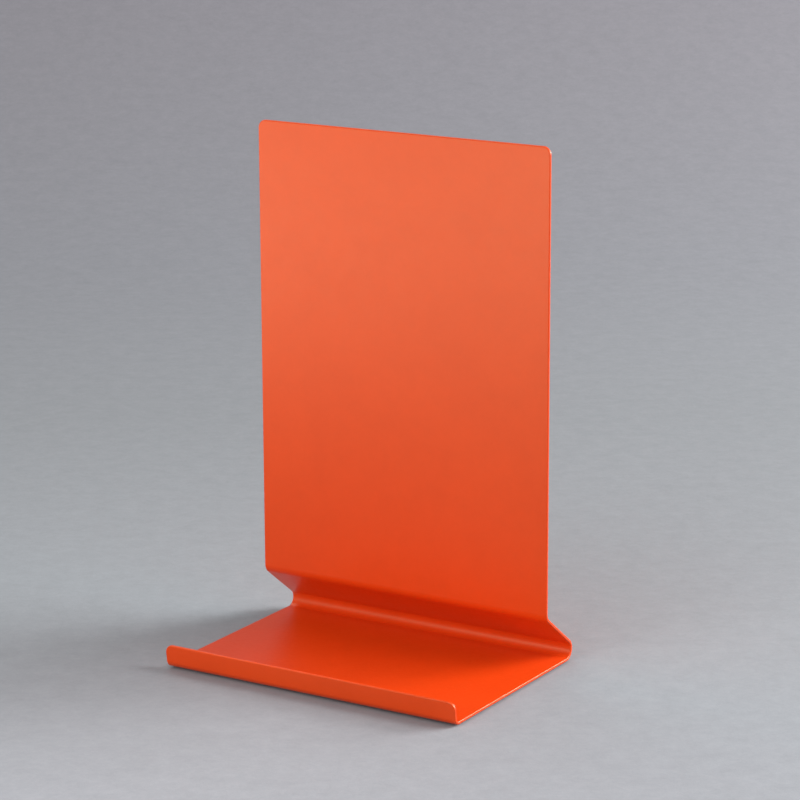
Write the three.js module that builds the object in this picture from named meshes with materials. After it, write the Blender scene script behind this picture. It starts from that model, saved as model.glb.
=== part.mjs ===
// Book stand folded from one sheet of steel, standing on four thin anti-slip pads.
// Lengths are in millimetres and angles in degrees. +X runs along the folds, -Y faces the reader and +Z is up.
// The origin lies on the table, in the middle of the stand's depth and width.

import * as THREE from 'three';
import { toCreasedNormals } from 'three/addons/utils/BufferGeometryUtils.js';

// Whole stand
const STAND_WIDTH = 200;
const STAND_DEPTH = 140;
const STAND_HEIGHT = 316.5;
const SHEET_THICKNESS = 2;

// Lip that keeps the book from sliding off: its height is from the sheet's underside to its front top edge
const LIP_HEIGHT = 14.5;
const LIP_LEAN = 7;

// Riser that leans forward from the rear fold, up to the upright panel
const RISER_ANGLE = 37.2;
const PANEL_SETBACK = 31;

// Inside radius of each fold, as the press brake's punch leaves it
const FRONT_FOLD_RADIUS = 3;
const REAR_FOLD_RADIUS = 5;
const KNEE_FOLD_RADIUS = 5;

// Corners of the blank, and the radius that grinding and the coat leave on its cut edge
const PANEL_CORNER_RADIUS = 5;
const LIP_CORNER_RADIUS = 5;
const EDGE_EASING = 0.7;

// Anti-slip pads under the base: insets run from the stand's side and front, and from where the rear fold begins
const PAD_DIAMETER = 12;
const PAD_THICKNESS = 1;
const PAD_EASING = 0.25;
const PAD_SIDE_INSET = 14;
const PAD_FRONT_INSET = 18;
const PAD_REAR_INSET = 9;

// Fineness of the curved surfaces
const FOLD_STEP = 5;
const CORNER_STEPS = 10;
const EDGE_STEPS = 5;
const PAD_STEPS = 48;

const steelCoat = new THREE.MeshStandardMaterial({ color: 0xe8481a, roughness: 0.42, metalness: 0 });
const padRubber = new THREE.MeshStandardMaterial({ color: 0xc9c9c4, roughness: 0.6, metalness: 0 });

const radians = THREE.MathUtils.degToRad;

// Unit vector in the stand's side view, where x is the stand's Y and y is its Z
function heading(angle) {
  return new THREE.Vector2(Math.cos(angle), Math.sin(angle));
}

// The side a quarter turn left of a heading: the book's side, on a walk from the lip to the panel
function bookSide(angle) {
  return heading(angle + Math.PI / 2);
}

// Middle line of the sheet in the side view: where its straight runs would meet, and the angle of each run
function middleLine() {
  const half = SHEET_THICKNESS / 2;
  const baseHeight = PAD_THICKNESS + half;
  const lean = radians(LIP_LEAN);
  const rise = radians(RISER_ANGLE);

  const runAngles = [lean - Math.PI / 2, 0, Math.PI - rise, Math.PI / 2];

  // The lip's front top edge is the stand's foremost point, and its end is cut square to the sheet
  const lipFront = new THREE.Vector2(-STAND_DEPTH / 2, PAD_THICKNESS + LIP_HEIGHT);
  const lipEnd = lipFront.clone().addScaledVector(bookSide(runAngles[0]), half);
  const lipRun = (lipEnd.y - baseHeight) / Math.cos(lean);
  const frontCorner = lipEnd.clone().addScaledVector(heading(runAngles[0]), lipRun);

  // The rear fold's outside is the stand's rearmost point
  const rearFoldCentre = STAND_DEPTH / 2 - SHEET_THICKNESS - REAR_FOLD_RADIUS;
  const rearTangent = (REAR_FOLD_RADIUS + half) * Math.tan((Math.PI - rise) / 2);
  const rearCorner = new THREE.Vector2(rearFoldCentre + rearTangent, baseHeight);

  const panelMiddle = STAND_DEPTH / 2 - PANEL_SETBACK - half;
  const kneeCorner = new THREE.Vector2(
    panelMiddle,
    baseHeight + (rearCorner.x - panelMiddle) * Math.tan(rise),
  );
  const panelEnd = new THREE.Vector2(panelMiddle, STAND_HEIGHT);

  return { points: [lipEnd, frontCorner, rearCorner, kneeCorner, panelEnd], runAngles, rearFoldCentre };
}

// Straight runs and folds in order along the middle line, each with its length and the turn it makes
function foldedPath({ points, runAngles }, insideRadii) {
  const pieces = [];
  let from = points[0];
  insideRadii.forEach((insideRadius, fold) => {
    const corner = points[fold + 1];
    const radius = insideRadius + SHEET_THICKNESS / 2;
    const turn = runAngles[fold + 1] - runAngles[fold];
    const tangent = radius * Math.tan(Math.abs(turn) / 2);
    const foldStart = corner.clone().addScaledVector(heading(runAngles[fold]), -tangent);
    pieces.push({ from, angle: runAngles[fold], length: from.distanceTo(foldStart), turn: 0 });
    pieces.push({ from: foldStart, angle: runAngles[fold], length: radius * Math.abs(turn), turn });
    from = corner.clone().addScaledVector(heading(runAngles[fold + 1]), tangent);
  });
  const last = points[points.length - 1];
  pieces.push({ from, angle: runAngles[insideRadii.length], length: from.distanceTo(last), turn: 0 });

  let start = 0;
  for (const piece of pieces) {
    piece.start = start;
    start += piece.length;
  }
  return { pieces, length: start };
}

// The point that lies `along` millimetres down the path and `offset` off its middle, towards the book
function pointOnPath(path, along, offset) {
  const piece = path.pieces.findLast((candidate) => along >= candidate.start) ?? path.pieces[0];
  const travelled = along - piece.start;
  if (piece.turn === 0) {
    const straight = piece.from.clone().addScaledVector(heading(piece.angle), travelled);
    return straight.addScaledVector(bookSide(piece.angle), offset);
  }
  const side = Math.sign(piece.turn);
  const radius = piece.length / Math.abs(piece.turn);
  const angle = piece.angle + (piece.turn * travelled) / piece.length;
  const centre = piece.from.clone().addScaledVector(bookSide(piece.angle), side * radius);
  return centre.addScaledVector(bookSide(angle), offset - side * radius);
}

// Distances along the path at which the sheet gets a line of vertices: every few degrees of each fold
function foldStations(path) {
  const stations = [];
  for (const piece of path.pieces) {
    if (piece.turn === 0) continue;
    const steps = Math.ceil(Math.abs(piece.turn) / radians(FOLD_STEP));
    for (let step = 0; step <= steps; step++) {
      stations.push(piece.start + (piece.length * step) / steps);
    }
  }
  return stations;
}

// Right half of the flat blank's outline, from the lip's end to the panel's, moved inwards by `inset`
function blankSide(path, inset) {
  const halfWidth = STAND_WIDTH / 2;
  const quarter = Array.from({ length: CORNER_STEPS + 1 }, (_, step) => ((Math.PI / 2) * step) / CORNER_STEPS);

  const lipCorner = quarter.map((angle) => ({
    across: halfWidth - LIP_CORNER_RADIUS + (LIP_CORNER_RADIUS - inset) * Math.sin(angle),
    along: LIP_CORNER_RADIUS - (LIP_CORNER_RADIUS - inset) * Math.cos(angle),
  }));
  const straight = foldStations(path)
    .filter((along) => along > LIP_CORNER_RADIUS && along < path.length - PANEL_CORNER_RADIUS)
    .map((along) => ({ across: halfWidth - inset, along }));
  const panelCorner = quarter.map((angle) => ({
    across: halfWidth - PANEL_CORNER_RADIUS + (PANEL_CORNER_RADIUS - inset) * Math.cos(angle),
    along: path.length - PANEL_CORNER_RADIUS + (PANEL_CORNER_RADIUS - inset) * Math.sin(angle),
  }));
  return [...lipCorner, ...straight, ...panelCorner];
}

// Inset and height of each ring round the sheet's edge, from the book's side to the other
function edgeRings() {
  const half = SHEET_THICKNESS / 2;
  const easing = Math.min(EDGE_EASING, half * 0.9);
  const upper = Array.from({ length: EDGE_STEPS + 1 }, (_, step) => {
    const angle = (Math.PI / 2) * (1 - step / EDGE_STEPS);
    return { inset: easing * (1 - Math.cos(angle)), offset: half - easing * (1 - Math.sin(angle)) };
  });
  const lower = upper.map(({ inset, offset }) => ({ inset, offset: -offset })).reverse();
  return [...upper, ...lower];
}

// The folded sheet as one skin: rings of vertices round the edge, and a ladder of faces across each side
function sheetGeometry(path) {
  const positions = [];
  const rings = edgeRings();
  const sideLength = blankSide(path, 0).length;
  const ringLength = 2 * sideLength;

  for (const { inset, offset } of rings) {
    const right = blankSide(path, inset);
    const left = right.map(({ across, along }) => ({ across: -across, along })).reverse();
    for (const { across, along } of [...right, ...left]) {
      const place = pointOnPath(path, along, offset);
      positions.push(across, place.x, place.y);
    }
  }

  const faces = [];
  const addQuad = (a, b, c, d) => faces.push(a, b, c, a, c, d);
  for (let ring = 0; ring < rings.length - 1; ring++) {
    for (let spot = 0; spot < ringLength; spot++) {
      const next = (spot + 1) % ringLength;
      const above = ring * ringLength;
      const below = above + ringLength;
      addQuad(above + spot, below + spot, below + next, above + next);
    }
  }
  const lastRing = (rings.length - 1) * ringLength;
  for (let spot = 0; spot < sideLength - 1; spot++) {
    const opposite = ringLength - 1 - spot;
    addQuad(spot, spot + 1, opposite - 1, opposite);
    addQuad(lastRing + spot, lastRing + opposite, lastRing + opposite - 1, lastRing + spot + 1);
  }

  const geometry = new THREE.BufferGeometry();
  geometry.setAttribute('position', new THREE.Float32BufferAttribute(positions, 3));
  geometry.setIndex(faces);
  return toCreasedNormals(geometry, radians(30));
}

// A round pad standing on the table, with its lower rim eased
function padGeometry() {
  const radius = PAD_DIAMETER / 2;
  const easing = Math.min(PAD_EASING, PAD_THICKNESS * 0.9);
  const profile = [
    new THREE.Vector2(0, 0),
    new THREE.Vector2(radius - easing, 0),
    new THREE.Vector2(radius, easing),
    new THREE.Vector2(radius, PAD_THICKNESS),
    new THREE.Vector2(0, PAD_THICKNESS),
  ];
  return new THREE.LatheGeometry(profile, PAD_STEPS).rotateX(Math.PI / 2);
}

function makeFoldedSheet(line) {
  const path = foldedPath(line, [FRONT_FOLD_RADIUS, REAR_FOLD_RADIUS, KNEE_FOLD_RADIUS]);
  const sheet = new THREE.Mesh(sheetGeometry(path), steelCoat);
  sheet.name = 'folded_sheet';
  return sheet;
}

// Four pads near the corners of the flat part of the base
function makePads({ rearFoldCentre }) {
  const sides = { left: -1, right: 1 };
  const rows = { front: -STAND_DEPTH / 2 + PAD_FRONT_INSET, rear: rearFoldCentre - PAD_REAR_INSET };
  const pads = [];
  for (const [rowName, rowPlace] of Object.entries(rows)) {
    for (const [sideName, side] of Object.entries(sides)) {
      const pad = new THREE.Mesh(padGeometry(), padRubber);
      pad.name = `anti_slip_pad_${rowName}_${sideName}`;
      pad.position.set(side * (STAND_WIDTH / 2 - PAD_SIDE_INSET), rowPlace, 0);
      pads.push(pad);
    }
  }
  return pads;
}

const line = middleLine();
const stand = new THREE.Group();
stand.name = 'book_stand';
stand.add(makeFoldedSheet(line), ...makePads(line));

export default stand;
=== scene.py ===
# Looks of the folded steel book stand: its coat, its pads, the pale studio floor, the light and the camera.
# Lengths are in metres. +X runs along the folds, -Y faces the reader and +Z is up.

import math

import bpy
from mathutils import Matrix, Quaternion, Vector

# Camera, at the photograph's viewing angle: azimuth 0 looks along +Y
CAMERA_AZIMUTH = 31.55
CAMERA_ELEVATION = 14.15
CAMERA_ROLL = -0.21
CAMERA_DISTANCE = 1.7864
CAMERA_AIM = Vector((0.02677, -0.00782, 0.16869))
CAMERA_LENS = 138.77
SENSOR_WIDTH = 36.0
CAMERA_REACH = 50.0

# Studio sweep: a floor that curves up into a wall behind the stand
FLOOR_REACH = 9.0
# The floor lies a hair below the pads, so that their undersides don't share its plane
FLOOR_DROP = 0.0001
WALL_DISTANCE = 3.2
COVE_RADIUS = 2.2
COVE_STEPS = 24
WALL_HEIGHT = 3.0
FLOOR_COLOUR = (0.322, 0.331, 0.354, 1.0)
FLOOR_COLOUR_DEEP = (0.268, 0.277, 0.295, 1.0)
# Painted light falloff on the backdrop paper, darker further behind the stand: level distance behind the stand, then
# the share of each colour channel left there
FLOOR_FALLOFF_START = -0.25
FLOOR_FALLOFF_LENGTH = 2.2
FLOOR_PAINTED_FALLOFF = [
    (-0.20, (1.00, 1.00, 1.00)),
    (0.10, (0.91, 0.93, 0.92)),
    (0.60, (0.80, 0.81, 0.80)),
    (1.20, (0.80, 0.79, 0.80)),
    (1.90, (0.84, 0.79, 0.81)),
]

# Soft boxes: bearing and height in degrees as seen from the aim, distance, size and power
SOFT_BOX_AIM = Vector((0.0, 0.0, 0.1))
SOFT_BOXES = {
    "key": (45.0, 20.0, 3.0, 1.0, 83.0),
    "key_high": (60.0, 40.0, 3.0, 1.2, 25.0),
    "key_side": (72.0, 28.0, 3.0, 1.3, 41.0),
    "rim": (26.0, 10.0, 3.0, 0.5, 34.0),
    "high_front": (185.0, 45.0, 2.0, 1.3, 10.0),
    "rear_left": (300.0, 50.0, 2.0, 1.2, 7.8),
    "near_front": (187.0, 11.0, 0.9, 0.4, 3.0),
    "near_left": (230.0, 11.0, 0.9, 0.4, 0.65),
}

# Glowing panel that lies on the floor outside the picture: nearest and farthest edge from the stand, width and power
FLOOR_PANEL = (0.8, 1.8, 1.2, 19.0)
FLOOR_PANEL_BEARING = 225.0
FLOOR_PANEL_LIFT = 0.003
AMBIENT_COLOUR = (1.0, 1.0, 1.0, 1.0)
AMBIENT_STRENGTH = 0.41

# Coat, pads and paper: colours are linear
COAT_COLOUR = (0.715, 0.0535, 0.004, 1.0)
COAT_COLOUR_DEEP = (0.665, 0.0485, 0.0035, 1.0)
COAT_GLOSS_TINT = (1.0, 1.0, 0.6, 1.0)
COAT_GLOSS = 0.43
COAT_ROUGHNESS = 0.35
COAT_ROUGHNESS_SPREAD = 0.03
PAD_COLOUR = (0.62, 0.62, 0.58, 1.0)
PAD_COLOUR_DUSTY = (0.50, 0.49, 0.46, 1.0)
PAD_ROUGHNESS = (0.28, 0.55)
PAD_TRANSMISSION = 0.45
PAD_IOR = 1.5
FLOOR_ROUGHNESS = 0.9
FLOOR_GLOSS = 0.2

# Noise: bumps to the metre, finer layers laid over them and, where it isn't a half, the strength of each next layer
PAPER_MOTTLE = (60.0, 6.0, 0.95)
PAPER_FIBRE = (900.0, 2.0)
COAT_FILM = (38.0, 6.0, 0.8)
COAT_WAVES = (420.0, 2.0)
COAT_GRAIN = (2600.0, 2.0)
PAD_CLOUD = (700.0, 3.0)
PAD_GRAIN = (5000.0, 2.0)
# The part of the noise's range where nearly all of it lies
NOISE_LOW = 0.3
NOISE_HIGH = 0.7

# Bump: depth in metres and strength
PAPER_BUMP = (0.0003, 0.25)
COAT_BUMP = (0.0002, 0.12)
PAD_BUMP = (0.00005, 0.4)
COAT_GRAIN_SHARE = 0.25

# Vertices closer than this are one, and the full weight makes the flat faces rule the shading
MERGE_DISTANCE = 1e-6
FLAT_FACE_WEIGHT = 100


def from_bearing(bearing, height, distance):
    """An offset: bearing 0 is +Y, 90 is +X, height is above the horizon, and both are in degrees."""
    turn, rise = math.radians(bearing), math.radians(height)
    flat = math.cos(rise)
    return Vector((math.sin(turn) * flat, math.cos(turn) * flat, math.sin(rise))) * distance


def aimed(name, data, place, aim):
    made = bpy.data.objects.new(name, data)
    bpy.context.scene.collection.objects.link(made)
    made.location = place
    made.rotation_mode = "QUATERNION"
    made.rotation_quaternion = (aim - place).to_track_quat("-Z", "Y")
    return made


def make_camera():
    data = bpy.data.cameras.new("camera")
    data.sensor_width = SENSOR_WIDTH
    data.lens = CAMERA_LENS
    data.clip_end = CAMERA_REACH
    place = CAMERA_AIM + from_bearing(180.0 - CAMERA_AZIMUTH, CAMERA_ELEVATION, CAMERA_DISTANCE)
    camera = aimed("camera", data, place, CAMERA_AIM)
    camera.rotation_quaternion @= Quaternion((0.0, 0.0, 1.0), math.radians(CAMERA_ROLL))
    bpy.context.scene.camera = camera


def area_light(name, width, length, power):
    data = bpy.data.lights.new(name, "AREA")
    data.shape = "RECTANGLE"
    data.size = width
    data.size_y = length
    data.energy = power
    return data


def make_soft_box(name, bearing, height, distance, size, power):
    place = SOFT_BOX_AIM + from_bearing(bearing, height, distance)
    return aimed(name, area_light(name, size, size, power), place, SOFT_BOX_AIM)


def make_floor_panel(name, near, far, width, power):
    made = bpy.data.objects.new(name, area_light(name, width, far - near, power))
    bpy.context.scene.collection.objects.link(made)
    made.location = from_bearing(FLOOR_PANEL_BEARING, 0.0, (near + far) / 2)
    made.location.z = FLOOR_PANEL_LIFT
    made.rotation_euler = (math.pi, 0.0, -math.radians(FLOOR_PANEL_BEARING))
    return made


def make_lights():
    lights = [make_soft_box(name, *values) for name, values in SOFT_BOXES.items()]
    lights.append(make_floor_panel("floor_panel", *FLOOR_PANEL))
    for light in lights:
        light.visible_camera = False
    world = bpy.data.worlds.new("studio")
    world.use_nodes = True
    background = world.node_tree.nodes["Background"]
    background.inputs["Color"].default_value = AMBIENT_COLOUR
    background.inputs["Strength"].default_value = AMBIENT_STRENGTH
    bpy.context.scene.world = world


def new_material(name):
    material = bpy.data.materials.new(name)
    material.use_nodes = True
    return material, material.node_tree.nodes["Principled BSDF"]


def add_noise(tree, place, scale, detail, roughness=0.5):
    """Noise between 0 and 1, fixed to the object, with `scale` bumps to the metre and finer ones laid over them."""
    noise = tree.nodes.new("ShaderNodeTexNoise")
    noise.inputs["Scale"].default_value = scale
    noise.inputs["Detail"].default_value = detail
    noise.inputs["Roughness"].default_value = roughness
    tree.links.new(place, noise.inputs["Vector"])
    return noise.outputs["Fac"]


def add_range(tree, value, low, high):
    """Spreads noise, which keeps near its middle, over the range from low to high."""
    spread = tree.nodes.new("ShaderNodeMapRange")
    spread.inputs["From Min"].default_value = NOISE_LOW
    spread.inputs["From Max"].default_value = NOISE_HIGH
    spread.inputs["To Min"].default_value = low
    spread.inputs["To Max"].default_value = high
    tree.links.new(value, spread.inputs["Value"])
    return spread.outputs["Result"]


def add_colour_mix(tree, factor, first, second):
    mix = tree.nodes.new("ShaderNodeMix")
    mix.data_type = "RGBA"
    mix.inputs["A"].default_value = first
    mix.inputs["B"].default_value = second
    tree.links.new(factor, mix.inputs["Factor"])
    return mix.outputs["Result"]


def add_bump(tree, heights, distance, strength):
    """Bump from the sum of several heights, each a pair of a socket and its share."""
    total = None
    for height, share in heights:
        scaled = tree.nodes.new("ShaderNodeMath")
        scaled.operation = "MULTIPLY_ADD"
        scaled.inputs[1].default_value = share
        scaled.inputs[2].default_value = 0.0
        tree.links.new(height, scaled.inputs[0])
        if total is not None:
            tree.links.new(total, scaled.inputs[2])
        total = scaled.outputs["Value"]
    bump = tree.nodes.new("ShaderNodeBump")
    bump.inputs["Distance"].default_value = distance
    bump.inputs["Strength"].default_value = strength
    tree.links.new(total, bump.inputs["Height"])
    return bump.outputs["Normal"]


def object_place(tree):
    return tree.nodes.new("ShaderNodeTexCoord").outputs["Object"]


def add_painted_falloff(tree, place):
    """Painted light falloff: colour that drifts darker along the backdrop paper's own Y axis, from the painted
    falloff table.
    """
    axes = tree.nodes.new("ShaderNodeSeparateXYZ")
    tree.links.new(place, axes.inputs["Vector"])
    along = tree.nodes.new("ShaderNodeMapRange")
    along.inputs["From Min"].default_value = FLOOR_FALLOFF_START
    along.inputs["From Max"].default_value = FLOOR_FALLOFF_START + FLOOR_FALLOFF_LENGTH
    tree.links.new(axes.outputs["Y"], along.inputs["Value"])
    ramp = tree.nodes.new("ShaderNodeValToRGB")
    stops = ramp.color_ramp.elements
    while len(stops) < len(FLOOR_PAINTED_FALLOFF):
        stops.new(1.0)
    for stop, (spot, tone) in zip(stops, FLOOR_PAINTED_FALLOFF):
        stop.position = (spot - FLOOR_FALLOFF_START) / FLOOR_FALLOFF_LENGTH
        stop.color = (*tone, 1.0)
    tree.links.new(along.outputs["Result"], ramp.inputs["Fac"])
    return ramp.outputs["Color"]


def floor_material():
    """Matt backdrop paper with the faint mottling that paper has, and painted light falloff that makes it a little
    darker further back along it.
    """
    material, shader = new_material("studio_sweep")
    tree = material.node_tree
    place = object_place(tree)
    mottle = add_range(tree, add_noise(tree, place, *PAPER_MOTTLE), 0.0, 1.0)
    paper = tree.nodes.new("ShaderNodeMix")
    paper.data_type = "RGBA"
    paper.blend_type = "MULTIPLY"
    paper.inputs["Factor"].default_value = 1.0
    tree.links.new(add_colour_mix(tree, mottle, FLOOR_COLOUR_DEEP, FLOOR_COLOUR), paper.inputs["A"])
    # The paper's random mottle is multiplied by the painted light falloff, brighter near the stand and darker
    # further back
    tree.links.new(add_painted_falloff(tree, place), paper.inputs["B"])
    tree.links.new(paper.outputs["Result"], shader.inputs["Base Color"])
    fibre = add_noise(tree, place, *PAPER_FIBRE)
    tree.links.new(add_bump(tree, [(fibre, 1.0)], *PAPER_BUMP), shader.inputs["Normal"])
    shader.inputs["Roughness"].default_value = FLOOR_ROUGHNESS
    shader.inputs["Specular IOR Level"].default_value = FLOOR_GLOSS
    return material


def make_floor():
    """The sweep's section is a flat run, a quarter circle and an upright run, drawn out along X."""
    section = [(-FLOOR_REACH, 0.0)]
    for step in range(COVE_STEPS + 1):
        angle = math.pi / 2 * step / COVE_STEPS
        along = WALL_DISTANCE - COVE_RADIUS + COVE_RADIUS * math.sin(angle)
        section.append((along, COVE_RADIUS * (1 - math.cos(angle))))
    section.append((WALL_DISTANCE, WALL_HEIGHT))

    vertices = [(side * FLOOR_REACH, along, up) for along, up in section for side in (-1, 1)]
    faces = [(2 * i, 2 * i + 1, 2 * i + 3, 2 * i + 2) for i in range(len(section) - 1)]
    mesh = bpy.data.meshes.new("studio_sweep")
    mesh.from_pydata(vertices, [], faces)
    mesh.polygons.foreach_set("use_smooth", [True] * len(faces))
    mesh.materials.append(floor_material())
    floor = bpy.data.objects.new("studio_sweep", mesh)
    bpy.context.scene.collection.objects.link(floor)
    floor.location.z = -FLOOR_DROP
    floor.rotation_euler.z = math.radians(CAMERA_AZIMUTH)


def coat_material():
    """Satin powder coat: a slightly wavy film with fine grain, a little deeper in tone where it is thicker."""
    material, shader = new_material("powder_coat")
    tree = material.node_tree
    place = object_place(tree)
    film = add_noise(tree, place, *COAT_FILM)
    waves = add_noise(tree, place, *COAT_WAVES)
    grain = add_noise(tree, place, *COAT_GRAIN)

    thickness = add_range(tree, film, 0.0, 1.0)
    colour = add_colour_mix(tree, thickness, COAT_COLOUR, COAT_COLOUR_DEEP)
    tree.links.new(colour, shader.inputs["Base Color"])
    smoothest = COAT_ROUGHNESS - COAT_ROUGHNESS_SPREAD
    roughest = COAT_ROUGHNESS + COAT_ROUGHNESS_SPREAD
    tree.links.new(add_range(tree, waves, smoothest, roughest), shader.inputs["Roughness"])
    bump = add_bump(tree, [(waves, 1.0), (grain, COAT_GRAIN_SHARE)], *COAT_BUMP)
    tree.links.new(bump, shader.inputs["Normal"])
    shader.inputs["Specular IOR Level"].default_value = COAT_GLOSS
    shader.inputs["Specular Tint"].default_value = COAT_GLOSS_TINT
    return material


def pad_material():
    """Clear anti-slip polyurethane, a little cloudy and dusty."""
    material, shader = new_material("pad_rubber")
    tree = material.node_tree
    place = object_place(tree)
    cloud = add_range(tree, add_noise(tree, place, *PAD_CLOUD), 0.0, 1.0)
    tree.links.new(add_colour_mix(tree, cloud, PAD_COLOUR, PAD_COLOUR_DUSTY), shader.inputs["Base Color"])
    tree.links.new(add_range(tree, cloud, *PAD_ROUGHNESS), shader.inputs["Roughness"])
    grain = add_noise(tree, place, *PAD_GRAIN)
    tree.links.new(add_bump(tree, [(grain, 1.0)], *PAD_BUMP), shader.inputs["Normal"])
    shader.inputs["Transmission Weight"].default_value = PAD_TRANSMISSION
    shader.inputs["IOR"].default_value = PAD_IOR
    return material


def smooth_group():
    """Merges the coincident vertices and shades every face smooth."""
    group = bpy.data.node_groups.new("smooth_skin", "GeometryNodeTree")
    group.interface.new_socket("Geometry", in_out="INPUT", socket_type="NodeSocketGeometry")
    group.interface.new_socket("Geometry", in_out="OUTPUT", socket_type="NodeSocketGeometry")
    group_in = group.nodes.new("NodeGroupInput")
    merge = group.nodes.new("GeometryNodeMergeByDistance")
    merge.inputs["Distance"].default_value = MERGE_DISTANCE
    smooth = group.nodes.new("GeometryNodeSetShadeSmooth")
    group_out = group.nodes.new("NodeGroupOutput")
    group.links.new(group_in.outputs[0], merge.inputs["Geometry"])
    group.links.new(merge.outputs["Geometry"], smooth.inputs["Geometry"])
    group.links.new(smooth.outputs["Geometry"], group_out.inputs[0])
    return group


def dress(node, material, group):
    node.data.materials.clear()
    node.data.materials.append(material)
    smooth = node.modifiers.new("smooth_skin", "NODES")
    smooth.node_group = group
    weighted = node.modifiers.new("flat_faces_lead", "WEIGHTED_NORMAL")
    weighted.mode = "FACE_AREA"
    weighted.weight = FLAT_FACE_WEIGHT
    weighted.keep_sharp = True


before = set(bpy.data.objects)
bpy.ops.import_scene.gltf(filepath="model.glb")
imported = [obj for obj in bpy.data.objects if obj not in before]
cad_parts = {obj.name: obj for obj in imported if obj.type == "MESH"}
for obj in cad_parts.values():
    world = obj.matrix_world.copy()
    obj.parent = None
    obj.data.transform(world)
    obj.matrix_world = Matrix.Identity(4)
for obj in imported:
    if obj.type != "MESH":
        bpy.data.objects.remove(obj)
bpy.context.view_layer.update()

bpy.context.scene.view_settings.view_transform = "Standard"
make_camera()
make_lights()
make_floor()

coat = coat_material()
rubber = pad_material()
skin = smooth_group()
for name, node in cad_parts.items():
    dress(node, coat if name == "folded_sheet" else rubber, skin)
